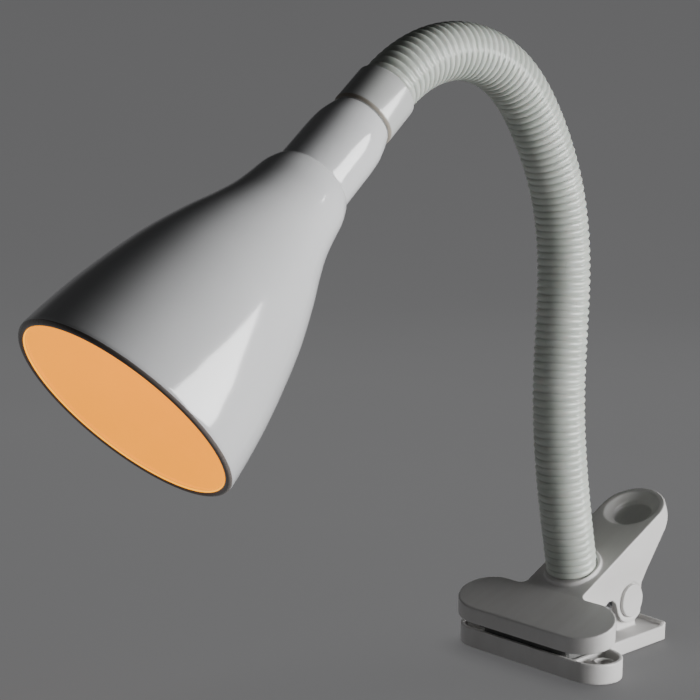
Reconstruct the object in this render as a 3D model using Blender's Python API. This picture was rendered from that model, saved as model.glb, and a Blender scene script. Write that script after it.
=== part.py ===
"""Clip-on gooseneck lamp: a spring clip, a ribbed flexible neck and a bell-shaped shade with a small screw lamp.

Metres, +Z up. Every solid is drawn with z = 0 at the clip's foot, and the whole lamp then hangs on one empty
that puts the row's origin on the lower pad's gripping face. The jaws open towards -Y, the jaw's width is X.
"""

from math import cos, pi, radians, sin, tan

import bmesh
import bpy
from mathutils import Vector

MM = 0.001
GAP = 0.3 * MM  # left between two pieces that touch

# Clip, heights above the foot
GRIP_HEIGHT = 11.4 * MM  # lower pad's gripping face
TRAY_HALF = (46.0 * MM, 13.75 * MM)
TRAY_Y = 4.3 * MM
TRAY_HEIGHT = 9.5 * MM
TRAY_WALL = 2.0 * MM
FLOOR = 2.2 * MM
PLATE_HALF = 25.5 * MM
PLATE_REAR = 76.0 * MM
PLATE_CROWN = 1.8 * MM  # how far the rear edge bulges out at its middle
PLATE_CORNER = 1.5 * MM
PLATE_HEIGHT = 7.5 * MM
LIP_HEIGHT = 9.0 * MM
PIVOT = Vector((0, 54.6 * MM, 22.2 * MM))
EAR_INNER, EAR_OUTER, EAR_RADIUS = 11.3 * MM, 14.6 * MM, 8.0 * MM
WING_HALF = (45.2 * MM, 13.45 * MM)
WING_END = 17.6 * MM  # long half-axis of the wing's rounded end
WEB_HALF = 17.3 * MM
WEB_WALL = 2.2 * MM
SKIN = 2.4 * MM
FRONT_TOP, FOLD_TOP = 21.4 * MM, 31.5 * MM
FRONT_UNDER, FOLD_UNDER = 13.7 * MM, 20.3 * MM
HANDLE_RISE = radians(26.5)
HANDLE_END = 70.0 * MM  # from the fold to the centre of the round end, along the sloping face
DISH_RADIUS, DISH_FLOOR, DISH_DEPTH = 14.2 * MM, 9.5 * MM, 4.5 * MM
LOBE_RADIUS = 11.4 * MM
CAP_RADIUS, CAP_PROUD = 8.3 * MM, 1.2 * MM
PIN_RADIUS, PIN_BORE = 2.5 * MM, 2.8 * MM
PAD_HALF_WIDTH = 26.4 * MM
JAW_RIB_X = 27.6 * MM
SPRING_RADIUS, SPRING_WIRE, SPRING_TURNS, SPRING_HALF = 5.6 * MM, 0.8 * MM, 6, 7.2 * MM
LOWER_LEG = ((71 * MM, 8.9 * MM), (62 * MM, 12.0 * MM))  # (y, z) of the spring's leg along the lower handle
UPPER_LEG = ((64 * MM, 43 * MM), (71 * MM, 50.2 * MM))

# Neck
NECK_START = Vector((0, 27.9 * MM, 41.6 * MM))
NECK_LENGTH = 331.0 * MM
# Degrees from upright towards -Y, at equal steps
NECK_LEAN = (14, 11.5, 7, -0.5, -1, 10.5, 27, 42.5, 74.5, 106, 132.5)
NECK_STEPS = 330
JOINTS = 7
SEAT = -2.4 * MM  # where the sleeve stands on the clip's boss, along the neck
BOSS_RADIUS, BOSS_PROUD, BOSS_FLOOR, BOSS_SHIFT = 14.15 * MM, 2.1 * MM, 4.0 * MM, 0.9 * MM
SLEEVE_RADIUS, SLEEVE_BORE = 12.5 * MM, 7.4 * MM
CORE_RADIUS, CORE_BORE, LEAD_RADIUS = 7.0 * MM, 5.0 * MM, 2.9 * MM
SLEEVE_CUT, CORE_CUT, LEAD_CUT = 2.6 * MM, 1.7 * MM, 1.0 * MM  # half gaps left at a joint
THREAD_RADIUS, THREAD_BORE, THREAD_HOLE = 5.0 * MM, 3.6 * MM, 5.3 * MM
NUT_RADIUS, WASHER_RADIUS = 7.6 * MM, 7.8 * MM
STUD_RISE = 7.0 * MM

# Head, distances along the shade's axis from the neck's end
HEAD_DIP = radians(42.65)
COLLAR = (0.6 * MM, 19.5 * MM)
COLLAR_RADIUS, COLLAR_WALL = 13.8 * MM, 2.2 * MM
SHADE_TOP, SHADE_MOUTH = 19.9 * MM, 176.6 * MM
SHADE_WALL, RIM_WALL = 1.9 * MM, 2.6 * MM
CUP_OUTLINE = ((19.9, 12.9), (22.5, 13.9), (26, 14.6), (30, 15.4), (36, 15.9), (55, 16.2))
BELL_OUTLINE = ((56.5, 17.3), (63, 19.9), (75, 22.2), (93, 28.0), (117, 36.8), (141, 42.6), (176.6, 47.1))
SHADE_SIDES = 28
HOLDER_JOINT, HOLDER_END, HOLDER_SHELF = 38.0 * MM, 67.0 * MM, 41.0 * MM
HOLDER_RADIUS, HOLDER_NOSE, SHELL_RADIUS = 13.2 * MM, 12.0 * MM, 8.6 * MM
BULB_RADIUS, BULB_CENTRE = 20.0 * MM, 91.0 * MM

COLOURS = {  # red, green, blue, roughness, metallic
    "clip_plastic": (0.80, 0.79, 0.77, 0.45, 0),
    "pad_rubber": (0.05, 0.05, 0.055, 0.75, 0),
    "sleeve_vinyl": (0.78, 0.80, 0.76, 0.35, 0),
    "steel": (0.55, 0.56, 0.58, 0.35, 1),
    "brass": (0.80, 0.62, 0.30, 0.30, 1),
    "lead_vinyl": (0.85, 0.85, 0.83, 0.50, 0),
    "shade_gloss": (0.86, 0.87, 0.88, 0.15, 0),
    "collar_gloss": (0.84, 0.85, 0.85, 0.25, 0),
    "holder_plastic": (0.70, 0.68, 0.62, 0.50, 0),
    "bulb_glass": (0.95, 0.90, 0.80, 0.20, 0),
}


# --- Scene, bodies and materials ---

def clear_scene():
    for obj in list(bpy.data.objects):
        bpy.data.objects.remove(obj)


def make_material(name):
    red, green, blue, roughness, metallic = COLOURS[name]
    material = bpy.data.materials.new(name)
    material.use_nodes = True
    shader = material.node_tree.nodes["Principled BSDF"]
    shader.inputs["Base Color"].default_value = (red, green, blue, 1)
    shader.inputs["Roughness"].default_value = roughness
    shader.inputs["Metallic"].default_value = metallic
    return material


def make_body(name, parent, point):
    """An empty on the body's joint, which its pieces hang on."""
    empty = bpy.data.objects.new("body_" + name, None)
    bpy.context.collection.objects.link(empty)
    empty.empty_display_size = 10 * MM
    empty.location = point - (JOINT_POINT[parent] if parent else Vector())
    empty.parent = BODIES[parent] if parent else None
    JOINT_POINT[name] = point
    BODIES[name] = empty


def place(name, bm, material, body):
    """Turn a mesh drawn at the foot's height into an object on its body."""
    bmesh.ops.recalc_face_normals(bm, faces=bm.faces)
    bmesh.ops.translate(bm, verts=bm.verts, vec=-JOINT_POINT[body])
    mesh = bpy.data.meshes.new(name)
    bm.to_mesh(mesh)
    bm.free()
    mesh.shade_smooth()
    mesh.set_sharp_from_angle(angle=radians(35))
    mesh.materials.append(MATERIALS[material])
    obj = bpy.data.objects.new(name, mesh)
    bpy.context.collection.objects.link(obj)
    obj.parent = BODIES[body]
    return obj


def combine(obj, operation, bm, body):
    """Add a Boolean with a hidden helper made from bm; returns the helper."""
    helper = place(f"{obj.name}_{operation.lower()}_{len(obj.modifiers)}", bm, "steel", body)
    helper.hide_render = True
    helper.display_type = "WIRE"
    modifier = obj.modifiers.new(operation, "BOOLEAN")
    modifier.operation = operation
    modifier.solver = "EXACT"
    modifier.object = helper
    return helper


# --- Shapes ---

def prism(outline, axis, low, high):
    """A closed outline of (a, b) points, extruded along X (a is y, b is z) or along Z (a is x, b is y)."""
    bm = bmesh.new()
    if axis == "X":
        points = [Vector((low, a, b)) for a, b in outline]
        travel = Vector((high - low, 0, 0))
    else:
        points = [Vector((a, b, low)) for a, b in outline]
        travel = Vector((0, 0, high - low))
    face = bm.faces.new([bm.verts.new(point) for point in points])
    swept = bmesh.ops.extrude_face_region(bm, geom=[face])
    moved = [item for item in swept["geom"] if isinstance(item, bmesh.types.BMVert)]
    bmesh.ops.translate(bm, verts=moved, vec=travel)
    return bm


def arc(centre, radii, start, end, steps):
    """Points of an elliptical arc, angles in degrees."""
    angles = [radians(start + (end - start) * i / steps) for i in range(steps + 1)]
    return [(centre[0] + radii[0] * cos(angle), centre[1] + radii[1] * sin(angle)) for angle in angles]


def stadium(half_width, half_depth, centre_y, steps=12):
    straight = half_width - half_depth
    right = arc((straight, centre_y), (half_depth, half_depth), -90, 90, steps)
    left = arc((-straight, centre_y), (half_depth, half_depth), 90, 270, steps)
    return right + left


def block(x, y, z):
    return prism([(x[0], y[0]), (x[1], y[0]), (x[1], y[1]), (x[0], y[1])], "Z", z[0], z[1])


def turned(profile, sides, point, direction):
    """A closed (distance along, radius) profile turned about an axis; a radius of 0 closes on the axis."""
    bm = bmesh.new()
    turn = direction.to_track_quat("Z", "X").to_matrix()
    rings = []
    for along, radius in profile:
        if radius == 0:
            rings.append([bm.verts.new(point + turn @ Vector((0, 0, along)))] * sides)
            continue
        angles = [2 * pi * i / sides for i in range(sides)]
        ring = [Vector((radius * cos(angle), radius * sin(angle), along)) for angle in angles]
        rings.append([bm.verts.new(point + turn @ corner) for corner in ring])
    for ring, after in zip(rings, rings[1:] + rings[:1]):
        for i in range(sides):
            j = (i + 1) % sides
            corners = list(dict.fromkeys((ring[i], ring[j], after[j], after[i])))
            if len(corners) > 2:
                bm.faces.new(corners)
    return bm


def rod(radius, low, high, sides, point, direction):
    return turned([(low, 0), (low, radius), (high, radius), (high, 0)], sides, point, direction)


def ring(outer, inner, low, high, sides, point, direction):
    return turned([(low, inner), (low, outer), (high, outer), (high, inner)], sides, point, direction)


def smooth_outline(keys, steps):
    """Catmull-Rom points through the keys, given in millimetres and returned in metres."""
    keys = [Vector(key) * MM for key in keys]
    ends = [2 * keys[0] - keys[1]] + keys + [2 * keys[-1] - keys[-2]]
    points = []
    for before, start, end, after in zip(ends, ends[1:], ends[2:], ends[3:]):
        for i in range(steps):
            t = i / steps
            points.append(0.5 * (2 * start + (end - before) * t
                                 + (2 * before - 5 * start + 4 * end - after) * t ** 2
                                 + (3 * start - before - 3 * end + after) * t ** 3))
    return [tuple(point) for point in points] + [tuple(keys[-1])]


def hex_nut(name, low, high, point, direction, body):
    nut = place(name, rod(NUT_RADIUS, low, high, 6, point, direction), "steel", body)
    combine(nut, "DIFFERENCE", rod(THREAD_HOLE, low - MM, high + MM, 20, point, direction), body)


# --- The neck's centre line ---

def lean_at(fraction):
    """Lean in radians at a fraction of the neck's length, on a smooth curve through NECK_LEAN."""
    last = len(NECK_LEAN) - 1
    spot = min(max(fraction, 0), 1) * last
    k = min(int(spot), last - 1)
    t = spot - k
    start, end = NECK_LEAN[k], NECK_LEAN[k + 1]
    slope_in = (end - NECK_LEAN[k - 1]) / 2 if k else end - start
    slope_out = (NECK_LEAN[k + 2] - start) / 2 if k + 2 <= last else end - start
    return radians(start * (1 - 3 * t ** 2 + 2 * t ** 3) + end * (3 * t ** 2 - 2 * t ** 3)
                   + slope_in * (t - 2 * t ** 2 + t ** 3) + slope_out * (t ** 3 - t ** 2))


def neck_table():
    step = NECK_LENGTH / NECK_STEPS
    points = [NECK_START.copy()]
    for i in range(NECK_STEPS):
        lean = lean_at((i + 0.5) / NECK_STEPS)
        points.append(points[-1] + step * Vector((0, -sin(lean), cos(lean))))
    return points


def neck_direction(s):
    lean = lean_at(s / NECK_LENGTH)
    return Vector((0, -sin(lean), cos(lean)))


def neck_point(s):
    """Point at distance s along the neck, straight on beyond either end."""
    if s <= 0:
        return NECK_START + neck_direction(0) * s
    if s >= NECK_LENGTH:
        return NECK_POINTS[-1] + neck_direction(NECK_LENGTH) * (s - NECK_LENGTH)
    spot = s / NECK_LENGTH * NECK_STEPS
    i = min(int(spot), NECK_STEPS - 1)
    return NECK_POINTS[i].lerp(NECK_POINTS[i + 1], spot - i)


def joint_station(k):
    """Distance of joint k (from 1) along the neck."""
    return NECK_LENGTH * (2 * k - 1) / (2 * JOINTS)


def neck_tube(low, high, outer, inner, sides, steps):
    """A tube, or with no inner radius a solid rod, swept along the neck."""
    bm = bmesh.new()
    loops = []
    for i in range(steps + 1):
        s = low + (high - low) * i / steps
        point, along = neck_point(s), neck_direction(s)
        across = Vector((1, 0, 0)).cross(along)
        pair = []
        for radius in (outer, inner):
            if not radius:
                continue
            angles = [2 * pi * j / sides for j in range(sides)]
            around = [Vector((cos(angle), 0, 0)) + across * sin(angle) for angle in angles]
            pair.append([bm.verts.new(point + radius * spoke) for spoke in around])
        loops.append(pair)
    for pair, after in zip(loops, loops[1:]):
        for start, end in zip(pair, after):
            join_loops(bm, start, end)
    for pair in (loops[0], loops[-1]):
        if inner:
            join_loops(bm, pair[0], pair[1])
        else:
            bm.faces.new(pair[0])
    return bm


def join_loops(bm, start, end):
    count = len(start)
    for i in range(count):
        j = (i + 1) % count
        bm.faces.new((start[i], start[j], end[j], end[i]))


# --- Clip ---

def lower_jaw():
    """Open tray under the gripping pad, with the lower handle and the two inner pivot ears."""
    jaw = place("lower_jaw", prism(stadium(*TRAY_HALF, TRAY_Y), "Z", 0, TRAY_HEIGHT), "clip_plastic", "clip_lower")
    inside = stadium(TRAY_HALF[0] - TRAY_WALL, TRAY_HALF[1] - TRAY_WALL, TRAY_Y)
    combine(jaw, "DIFFERENCE", prism(inside, "Z", FLOOR, 2 * TRAY_HEIGHT), "clip_lower")
    for side in (-1, 1):
        rib_x = sorted((side * JAW_RIB_X, side * (JAW_RIB_X + WEB_WALL)))
        rib_y = (TRAY_Y - TRAY_HALF[1] + TRAY_WALL / 2, TRAY_Y + TRAY_HALF[1] - TRAY_WALL / 2)
        combine(jaw, "UNION", block(rib_x, rib_y, (FLOOR / 2, TRAY_HEIGHT - 1 * MM)), "clip_lower")
    front = TRAY_Y + TRAY_HALF[1] - TRAY_WALL / 2
    rear = plate_rear()
    combine(jaw, "UNION", prism([(-PLATE_HALF, front), (PLATE_HALF, front)] + rear, "Z", 0, PLATE_HEIGHT), "clip_lower")
    lip_inner = [(x * 0.92, y - TRAY_WALL) for x, y in reversed(rear)]
    combine(jaw, "UNION", prism(rear + lip_inner, "Z", 1 * MM, LIP_HEIGHT), "clip_lower")
    y, z = PIVOT.y, PIVOT.z
    ear = [(y - EAR_RADIUS, 4 * MM), (y + EAR_RADIUS, 4 * MM)] + arc((y, z), (EAR_RADIUS, EAR_RADIUS), 0, 180, 12)
    for side in (-1, 1):
        low, high = sorted((side * EAR_INNER, side * EAR_OUTER))
        combine(jaw, "UNION", prism(ear, "X", low, high), "clip_lower")
    combine(jaw, "DIFFERENCE", rod(PIN_BORE, -20 * MM, 20 * MM, 20, PIVOT, Vector((1, 0, 0))), "clip_lower")


def plate_rear():
    """Rear edge of the lower handle from +X to -X: small corner rounds and a shallow crown between them."""
    corner_x, corner_y = PLATE_HALF - PLATE_CORNER, PLATE_REAR - PLATE_CROWN - PLATE_CORNER
    right = arc((corner_x, corner_y), (PLATE_CORNER, PLATE_CORNER), 0, 90, 3)
    crown = []
    for i in range(1, 8):
        x = corner_x * (1 - i / 8)
        crown.append((x, PLATE_REAR - PLATE_CROWN * (x / corner_x) ** 2))
    left = [(-x, y) for x, y in reversed(right + crown)]
    return right + crown + [(0, PLATE_REAR)] + left


def lower_pad():
    depth = TRAY_HALF[1] - TRAY_WALL - GAP
    corner = 3 * MM
    half_x, half_y = PAD_HALF_WIDTH - corner, depth - corner
    corners = ((half_x, -half_y, -90), (half_x, half_y, 0), (-half_x, half_y, 90), (-half_x, -half_y, 180))
    outline = []
    for x, y, start in corners:
        outline += arc((x, TRAY_Y + y), (corner, corner), start, start + 90, 3)
    place("lower_pad", prism(outline, "Z", FLOOR + GAP, GRIP_HEIGHT), "pad_rubber", "clip_lower")


def top_height(y, drop=0):
    """Height of the upper jaw's top face at y, lowered by drop at a right angle to it."""
    if y < WING_HALF[1]:
        slope = (FOLD_TOP - FRONT_TOP) / (2 * WING_HALF[1])
        return FRONT_TOP + slope * (y + WING_HALF[1]) - drop
    return FOLD_TOP + tan(HANDLE_RISE) * (y - WING_HALF[1]) - drop / cos(HANDLE_RISE)


def under_height(y):
    slope = (FOLD_UNDER - FRONT_UNDER) / (2 * WING_HALF[1])
    return FRONT_UNDER + slope * (y + WING_HALF[1])


def upper_plan(inset):
    """T-shaped plan of the upper jaw: a wing with elliptical ends and a web as far as the handle's round end."""
    half_x, half_y, web = WING_HALF[0] - inset, WING_HALF[1] - inset, WEB_HALF - inset
    end_x = WING_HALF[0] - WING_END
    fillet = 3 * MM + inset
    right = arc((end_x, 0), (half_x - end_x, half_y), -90, 90, 14)
    right += arc((web + fillet, half_y + fillet), (fillet, fillet), 270, 180, 3)
    handle = arc((0, WING_HALF[1] + HANDLE_END * cos(HANDLE_RISE)), (web, web * cos(HANDLE_RISE)), 0, 180, 20)
    left = [(-x, y) for x, y in reversed(right)]
    return right + handle + left


def upper_block(inset, low, high):
    """The T-shaped plan stood up between two heights, with the handle's round end square to its sloping face."""
    bm = prism(upper_plan(inset), "Z", low, high)
    for vert in bm.verts:
        if vert.co.y > PIVOT.y:
            vert.co.y += (top_height(vert.co.y) - vert.co.z) * tan(HANDLE_RISE)
    return bm


def upper_jaw():
    """Inverted channel: the wing over the pad, the web with its pivot lobes, the thumb handle and the neck's boss."""
    jaw = place("upper_jaw", upper_block(0, 0, 80 * MM), "clip_plastic", "clip_upper")
    front, fold = -WING_HALF[1], WING_HALF[1]
    lobe = arc((PIVOT.y, PIVOT.z), (LOBE_RADIUS, LOBE_RADIUS), 197, 317.5, 10)
    handle_edge = [(63 * MM, 29.4 * MM), (67.1 * MM, 35.3 * MM), (94.6 * MM, 70 * MM),
                   (94.6 * MM, top_height(94.6 * MM))]
    notch = [(34.1 * MM, 23.4 * MM), (36.1 * MM, 24.8 * MM), (39.3 * MM, 24.8 * MM), (41.9 * MM, 22.9 * MM)]
    side = [(front - 1 * MM, under_height(front - 1 * MM)), (fold, FOLD_UNDER)] + notch + lobe + handle_edge
    side += [(fold, FOLD_TOP), (front - 1 * MM, top_height(front - 1 * MM))]
    combine(jaw, "INTERSECT", prism(side, "X", -60 * MM, 60 * MM), "clip_upper")
    pocket_front, pocket_rear, dish_front = front - 1 * MM, 100 * MM, 57 * MM
    under_dish = DISH_DEPTH + SKIN
    ceiling = [(pocket_front, 0), (pocket_front, under_height(pocket_front) + 4 * MM),
               (fold - 2 * MM, under_height(fold - 2 * MM) + 4 * MM), (fold - 2 * MM, top_height(fold, SKIN)),
               (dish_front, top_height(dish_front, SKIN)), (dish_front, top_height(dish_front, under_dish)),
               (pocket_rear, top_height(pocket_rear, under_dish)), (pocket_rear, 0)]
    hollow = combine(jaw, "DIFFERENCE", upper_block(WEB_WALL, -10 * MM, 90 * MM), "clip_upper")
    combine(hollow, "INTERSECT", prism(ceiling, "X", -60 * MM, 60 * MM), "clip_upper")
    seat, axis = neck_point(SEAT), neck_direction(0)
    combine(jaw, "UNION", boss(seat, axis), "clip_upper")
    combine(jaw, "DIFFERENCE", rod(SLEEVE_RADIUS + GAP, 0, 20 * MM, 32, seat, axis), "clip_upper")
    combine(jaw, "DIFFERENCE", rod(THREAD_HOLE, -10 * MM, 5 * MM, 20, seat, axis), "clip_upper")
    combine(jaw, "DIFFERENCE", rod(PIN_BORE, -20 * MM, 20 * MM, 20, PIVOT, Vector((1, 0, 0))), "clip_upper")
    normal = Vector((0, -sin(HANDLE_RISE), cos(HANDLE_RISE)))
    end = Vector((0, WING_HALF[1], FOLD_TOP)) + HANDLE_END * Vector((0, cos(HANDLE_RISE), sin(HANDLE_RISE)))
    dish = [(-DISH_DEPTH, 0), (-DISH_DEPTH, DISH_FLOOR), (0, DISH_RADIUS), (5 * MM, DISH_RADIUS), (5 * MM, 0)]
    combine(jaw, "DIFFERENCE", turned(dish, 28, end, normal), "clip_upper")


def boss(seat, axis):
    """Round boss along the neck's axis, its top parallel to the sloping handle face."""
    seat = seat + Vector((0, BOSS_SHIFT, 0))
    bm = rod(BOSS_RADIUS, -BOSS_FLOOR, 20 * MM, 40, seat, axis)
    normal = Vector((0, -sin(HANDLE_RISE), cos(HANDLE_RISE)))
    top = Vector((0, WING_HALF[1], FOLD_TOP)) + BOSS_PROUD * normal
    for vert in bm.verts:
        if (vert.co - seat).dot(axis) > 10 * MM:
            vert.co -= axis * (vert.co - top).dot(normal) / axis.dot(normal)
    return bm


def upper_pad():
    """Rubber block let into the wing, parallel to the wing's underside, meeting the lower pad at the nose."""
    half_y = 9.0 * MM
    nose = GRIP_HEIGHT + GAP
    slope = (FOLD_UNDER - FRONT_UNDER) / (2 * WING_HALF[1])
    top = [under_height(y) + 4 * MM - GAP for y in (half_y, -half_y)]
    outline = [(-half_y, nose), (half_y, nose + slope * 2 * half_y), (half_y, top[0]), (-half_y, top[1])]
    place("upper_pad", prism(outline, "X", -PAD_HALF_WIDTH, PAD_HALF_WIDTH), "pad_rubber", "clip_upper")


def pivot_and_spring():
    x_axis = Vector((1, 0, 0))
    half = WEB_HALF - 0.2 * MM
    place("pivot_pin", rod(PIN_RADIUS, -half, half, 20, PIVOT, x_axis), "steel", "clip_lower")
    for side, name in ((-1, "pivot_cap_left"), (1, "pivot_cap_right")):
        chamfer = 0.4 * MM
        low = WEB_HALF + GAP
        high = WEB_HALF + CAP_PROUD
        profile = [(low, 0), (low, CAP_RADIUS), (high - chamfer, CAP_RADIUS), (high, CAP_RADIUS - chamfer), (high, 0)]
        place(name, turned(profile, 28, PIVOT, x_axis * side), "clip_plastic", "clip_upper")
    curve = bpy.data.curves.new("torsion_spring", "CURVE")
    curve.dimensions = "3D"
    curve.bevel_depth = SPRING_WIRE
    curve.bevel_resolution = 1
    curve.use_fill_caps = True
    curve.materials.append(MATERIALS["steel"])
    points = spring_route()
    spline = curve.splines.new("POLY")
    spline.points.add(len(points) - 1)
    for spot, point in zip(spline.points, points):
        spot.co = (*(point - JOINT_POINT["clip_lower"]), 1)
    spring = bpy.data.objects.new("torsion_spring", curve)
    bpy.context.collection.objects.link(spring)
    spring.parent = BODIES["clip_lower"]


def spring_route():
    """Leg along the lower handle, turns about the pin, leg up under the upper handle."""
    start, turn_steps = radians(-105), 14
    sweep = -(2 * pi * SPRING_TURNS + radians(180 - 30))
    steps = int(turn_steps * abs(sweep) / (2 * pi))
    coil = []
    for i in range(steps + 1):
        angle = start + sweep * i / steps
        x = -SPRING_HALF + 2 * SPRING_HALF * i / steps
        coil.append(PIVOT + Vector((x, SPRING_RADIUS * cos(angle), SPRING_RADIUS * sin(angle))))
    lower_leg = [Vector((-SPRING_HALF, y, z)) for y, z in LOWER_LEG]
    upper_leg = [Vector((SPRING_HALF, y, z)) for y, z in UPPER_LEG]
    return lower_leg + coil + upper_leg


def neck_fixing():
    """Threaded nipple through the boss, its washer and nut, and the cord's gland below them."""
    seat, axis = neck_point(SEAT), neck_direction(0)
    below = -BOSS_FLOOR - GAP
    stud_low = below - 7.2 * MM
    washer_low = below - 1.2 * MM
    nut = (stud_low + 2.2 * MM, washer_low - GAP)
    stud = ring(THREAD_RADIUS, THREAD_BORE, stud_low, STUD_RISE, 20, seat, axis)
    place("neck_stud", stud, "brass", "clip_upper")
    place("neck_washer", ring(WASHER_RADIUS, THREAD_HOLE, washer_low, below, 24, seat, axis), "steel", "clip_upper")
    hex_nut("neck_nut", *nut, seat, axis, "clip_upper")
    gland_top = stud_low - GAP
    flange, body, bore = 7.0 * MM, 5.0 * MM, LEAD_RADIUS + GAP
    gland = [(gland_top, bore), (gland_top, flange), (gland_top - 1.6 * MM, flange),
             (gland_top - 1.6 * MM, body), (gland_top - 4.6 * MM, body - 0.8 * MM), (gland_top - 4.6 * MM, bore)]
    place("cord_gland", turned(gland[::-1], 20, seat, axis), "pad_rubber", "clip_upper")


# --- Neck ---

def neck_body(k):
    """Name of the body after joint k."""
    return "clip_upper" if k == 0 else "head" if k == JOINTS else f"neck_{k}"


def neck_pieces():
    """Sleeve, wound core and lead of each body, and a soft fold of sleeve round each joint."""
    for k in range(JOINTS + 1):
        body, low, high = neck_body(k), joint_station(k), joint_station(k + 1)
        ends = {"sleeve": [low + SLEEVE_CUT, high - SLEEVE_CUT], "core": [low + CORE_CUT, high - CORE_CUT],
                "lead": [low + LEAD_CUT, high - LEAD_CUT]}
        if k == 0:
            ends["sleeve"][0] = SEAT + GAP
            ends["core"][0] = SEAT + STUD_RISE + GAP
            ends["lead"][0] = SEAT - 15.0 * MM
        if k == JOINTS:
            ends["sleeve"][1] = NECK_LENGTH
            ends["core"][1] = NECK_LENGTH - 2.6 * MM
            ends["lead"][1] = NECK_LENGTH + 20.0 * MM
        steps = 2 if k in (0, JOINTS) else 4
        sleeve = neck_tube(*ends["sleeve"], SLEEVE_RADIUS, SLEEVE_BORE, 20, steps)
        place(f"sleeve_{k + 1}", sleeve, "sleeve_vinyl", body)
        place(f"core_{k + 1}", neck_tube(*ends["core"], CORE_RADIUS, CORE_BORE, 12, steps), "steel", body)
        place(f"lead_{k + 1}", neck_tube(*ends["lead"], LEAD_RADIUS, 0, 8, steps), "lead_vinyl", body)
    for k in range(1, JOINTS + 1):
        s, half = joint_station(k), SLEEVE_CUT - GAP
        fold = neck_tube(s - half, s + half, SLEEVE_RADIUS - 0.3 * MM, SLEEVE_BORE, 20, 1)
        place(f"sleeve_fold_{k}", fold, "sleeve_vinyl", neck_body(k))


# --- Head ---

def inner_outline(outline):
    """The shade's inner face: the outline moved in by the wall, which thickens towards the rim."""
    inner = []
    for along, radius in outline:
        share = max(0, (along - 0.9 * SHADE_MOUTH) / (0.1 * SHADE_MOUTH))
        inner.append((along, radius - SHADE_WALL - (RIM_WALL - SHADE_WALL) * share))
    return inner


def head_pieces():
    point, axis = neck_point(NECK_LENGTH), Vector((0, -cos(HEAD_DIP), -sin(HEAD_DIP)))
    turn_about = (point, axis)

    low, high = COLLAR
    edge = 0.6 * MM
    collar = [(low, THREAD_HOLE), (low, COLLAR_RADIUS - edge), (low + edge, COLLAR_RADIUS),
              (high - edge, COLLAR_RADIUS), (high, COLLAR_RADIUS - edge), (high, COLLAR_RADIUS - COLLAR_WALL),
              (low + COLLAR_WALL, COLLAR_RADIUS - COLLAR_WALL), (low + COLLAR_WALL, THREAD_HOLE)]
    place("head_collar", turned(collar, 28, *turn_about), "collar_gloss", "head")
    nipple = ring(THREAD_RADIUS, THREAD_BORE, -2 * MM, 31 * MM, 20, *turn_about)
    place("head_nipple", nipple, "brass", "head")
    nut_low = low + COLLAR_WALL + GAP
    hex_nut("collar_nut", nut_low, nut_low + 4 * MM, *turn_about, "head")

    cup = [(x * MM, y * MM) for x, y in CUP_OUTLINE]
    outside = cup + smooth_outline(BELL_OUTLINE, 2)
    inside = [pair for pair in inner_outline(outside) if pair[0] > SHADE_TOP + 2 * SHADE_WALL]
    ceiling = SHADE_TOP + SHADE_WALL
    shade = [(SHADE_TOP, THREAD_HOLE)] + outside + inside[::-1]
    shade += [(ceiling, inside[0][1]), (ceiling, THREAD_HOLE)]
    place("shade", turned(shade, SHADE_SIDES, *turn_about), "shade_gloss", "head")

    cap_low = ceiling + GAP
    cap_top = cap_low + 2 * MM
    cap = [(cap_low, THREAD_HOLE), (cap_low, 9 * MM), (30 * MM, 12.4 * MM), (HOLDER_JOINT, 12.4 * MM),
           (HOLDER_JOINT, 10.6 * MM), (31.5 * MM, 10.6 * MM), (cap_top, 7.4 * MM), (cap_top, THREAD_HOLE)]
    place("holder_cap", turned(cap, 24, *turn_about), "holder_plastic", "head")
    body_low, shelf = HOLDER_JOINT + GAP, HOLDER_SHELF
    bore, contact_hole = SHELL_RADIUS + 0.4 * MM, 4 * MM
    holder = [(body_low, contact_hole), (body_low, HOLDER_RADIUS), (HOLDER_END - 10 * MM, HOLDER_RADIUS),
              (HOLDER_END - 7 * MM, HOLDER_NOSE), (HOLDER_END, HOLDER_NOSE), (HOLDER_END, bore), (shelf, bore),
              (shelf, contact_hole)]
    place("holder_body", turned(holder, 24, *turn_about), "holder_plastic", "head")
    shell = ring(SHELL_RADIUS, SHELL_RADIUS - 0.9 * MM, shelf + GAP, HOLDER_END - 4 * MM, 20, *turn_about)
    place("holder_shell", shell, "brass", "head")
    contact = rod(3 * MM, body_low, shelf + 1.5 * MM, 10, *turn_about)
    place("holder_contact", contact, "brass", "head")

    bulb_foot = shelf + 1.5 * MM + GAP
    shoulder = BULB_CENTRE - BULB_RADIUS * 0.93
    bulb_cap = [(bulb_foot, 0), (bulb_foot, 3.2 * MM), (bulb_foot + 3 * MM, 7.0 * MM), (shoulder - GAP, 7.0 * MM),
                (shoulder - GAP, 0)]
    place("bulb_cap", turned(bulb_cap, 20, *turn_about), "steel", "head")
    globe = [(shoulder, 0)]
    for i in range(13):
        angle = radians(158 - 158 * i / 12)
        globe.append((BULB_CENTRE + BULB_RADIUS * cos(angle), BULB_RADIUS * sin(angle) if i < 12 else 0))
    place("bulb_globe", turned(globe, 24, *turn_about), "bulb_glass", "head")


clear_scene()
MATERIALS = {name: make_material(name) for name in COLOURS}
NECK_POINTS = neck_table()
BODIES, JOINT_POINT = {}, {}
make_body("clip_lower", None, Vector())
make_body("clip_upper", "clip_lower", PIVOT)
for joint in range(1, JOINTS + 1):
    make_body(neck_body(joint), neck_body(joint - 1), neck_point(joint_station(joint)))
BODIES["clip_lower"].location = (0, 0, -GRIP_HEIGHT)

lower_jaw()
lower_pad()
upper_jaw()
upper_pad()
pivot_and_spring()
neck_fixing()
neck_pieces()
head_pieces()
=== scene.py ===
"""Looks of the clip-on gooseneck lamp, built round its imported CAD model. Metres, in the CAD model's frame."""

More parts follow.
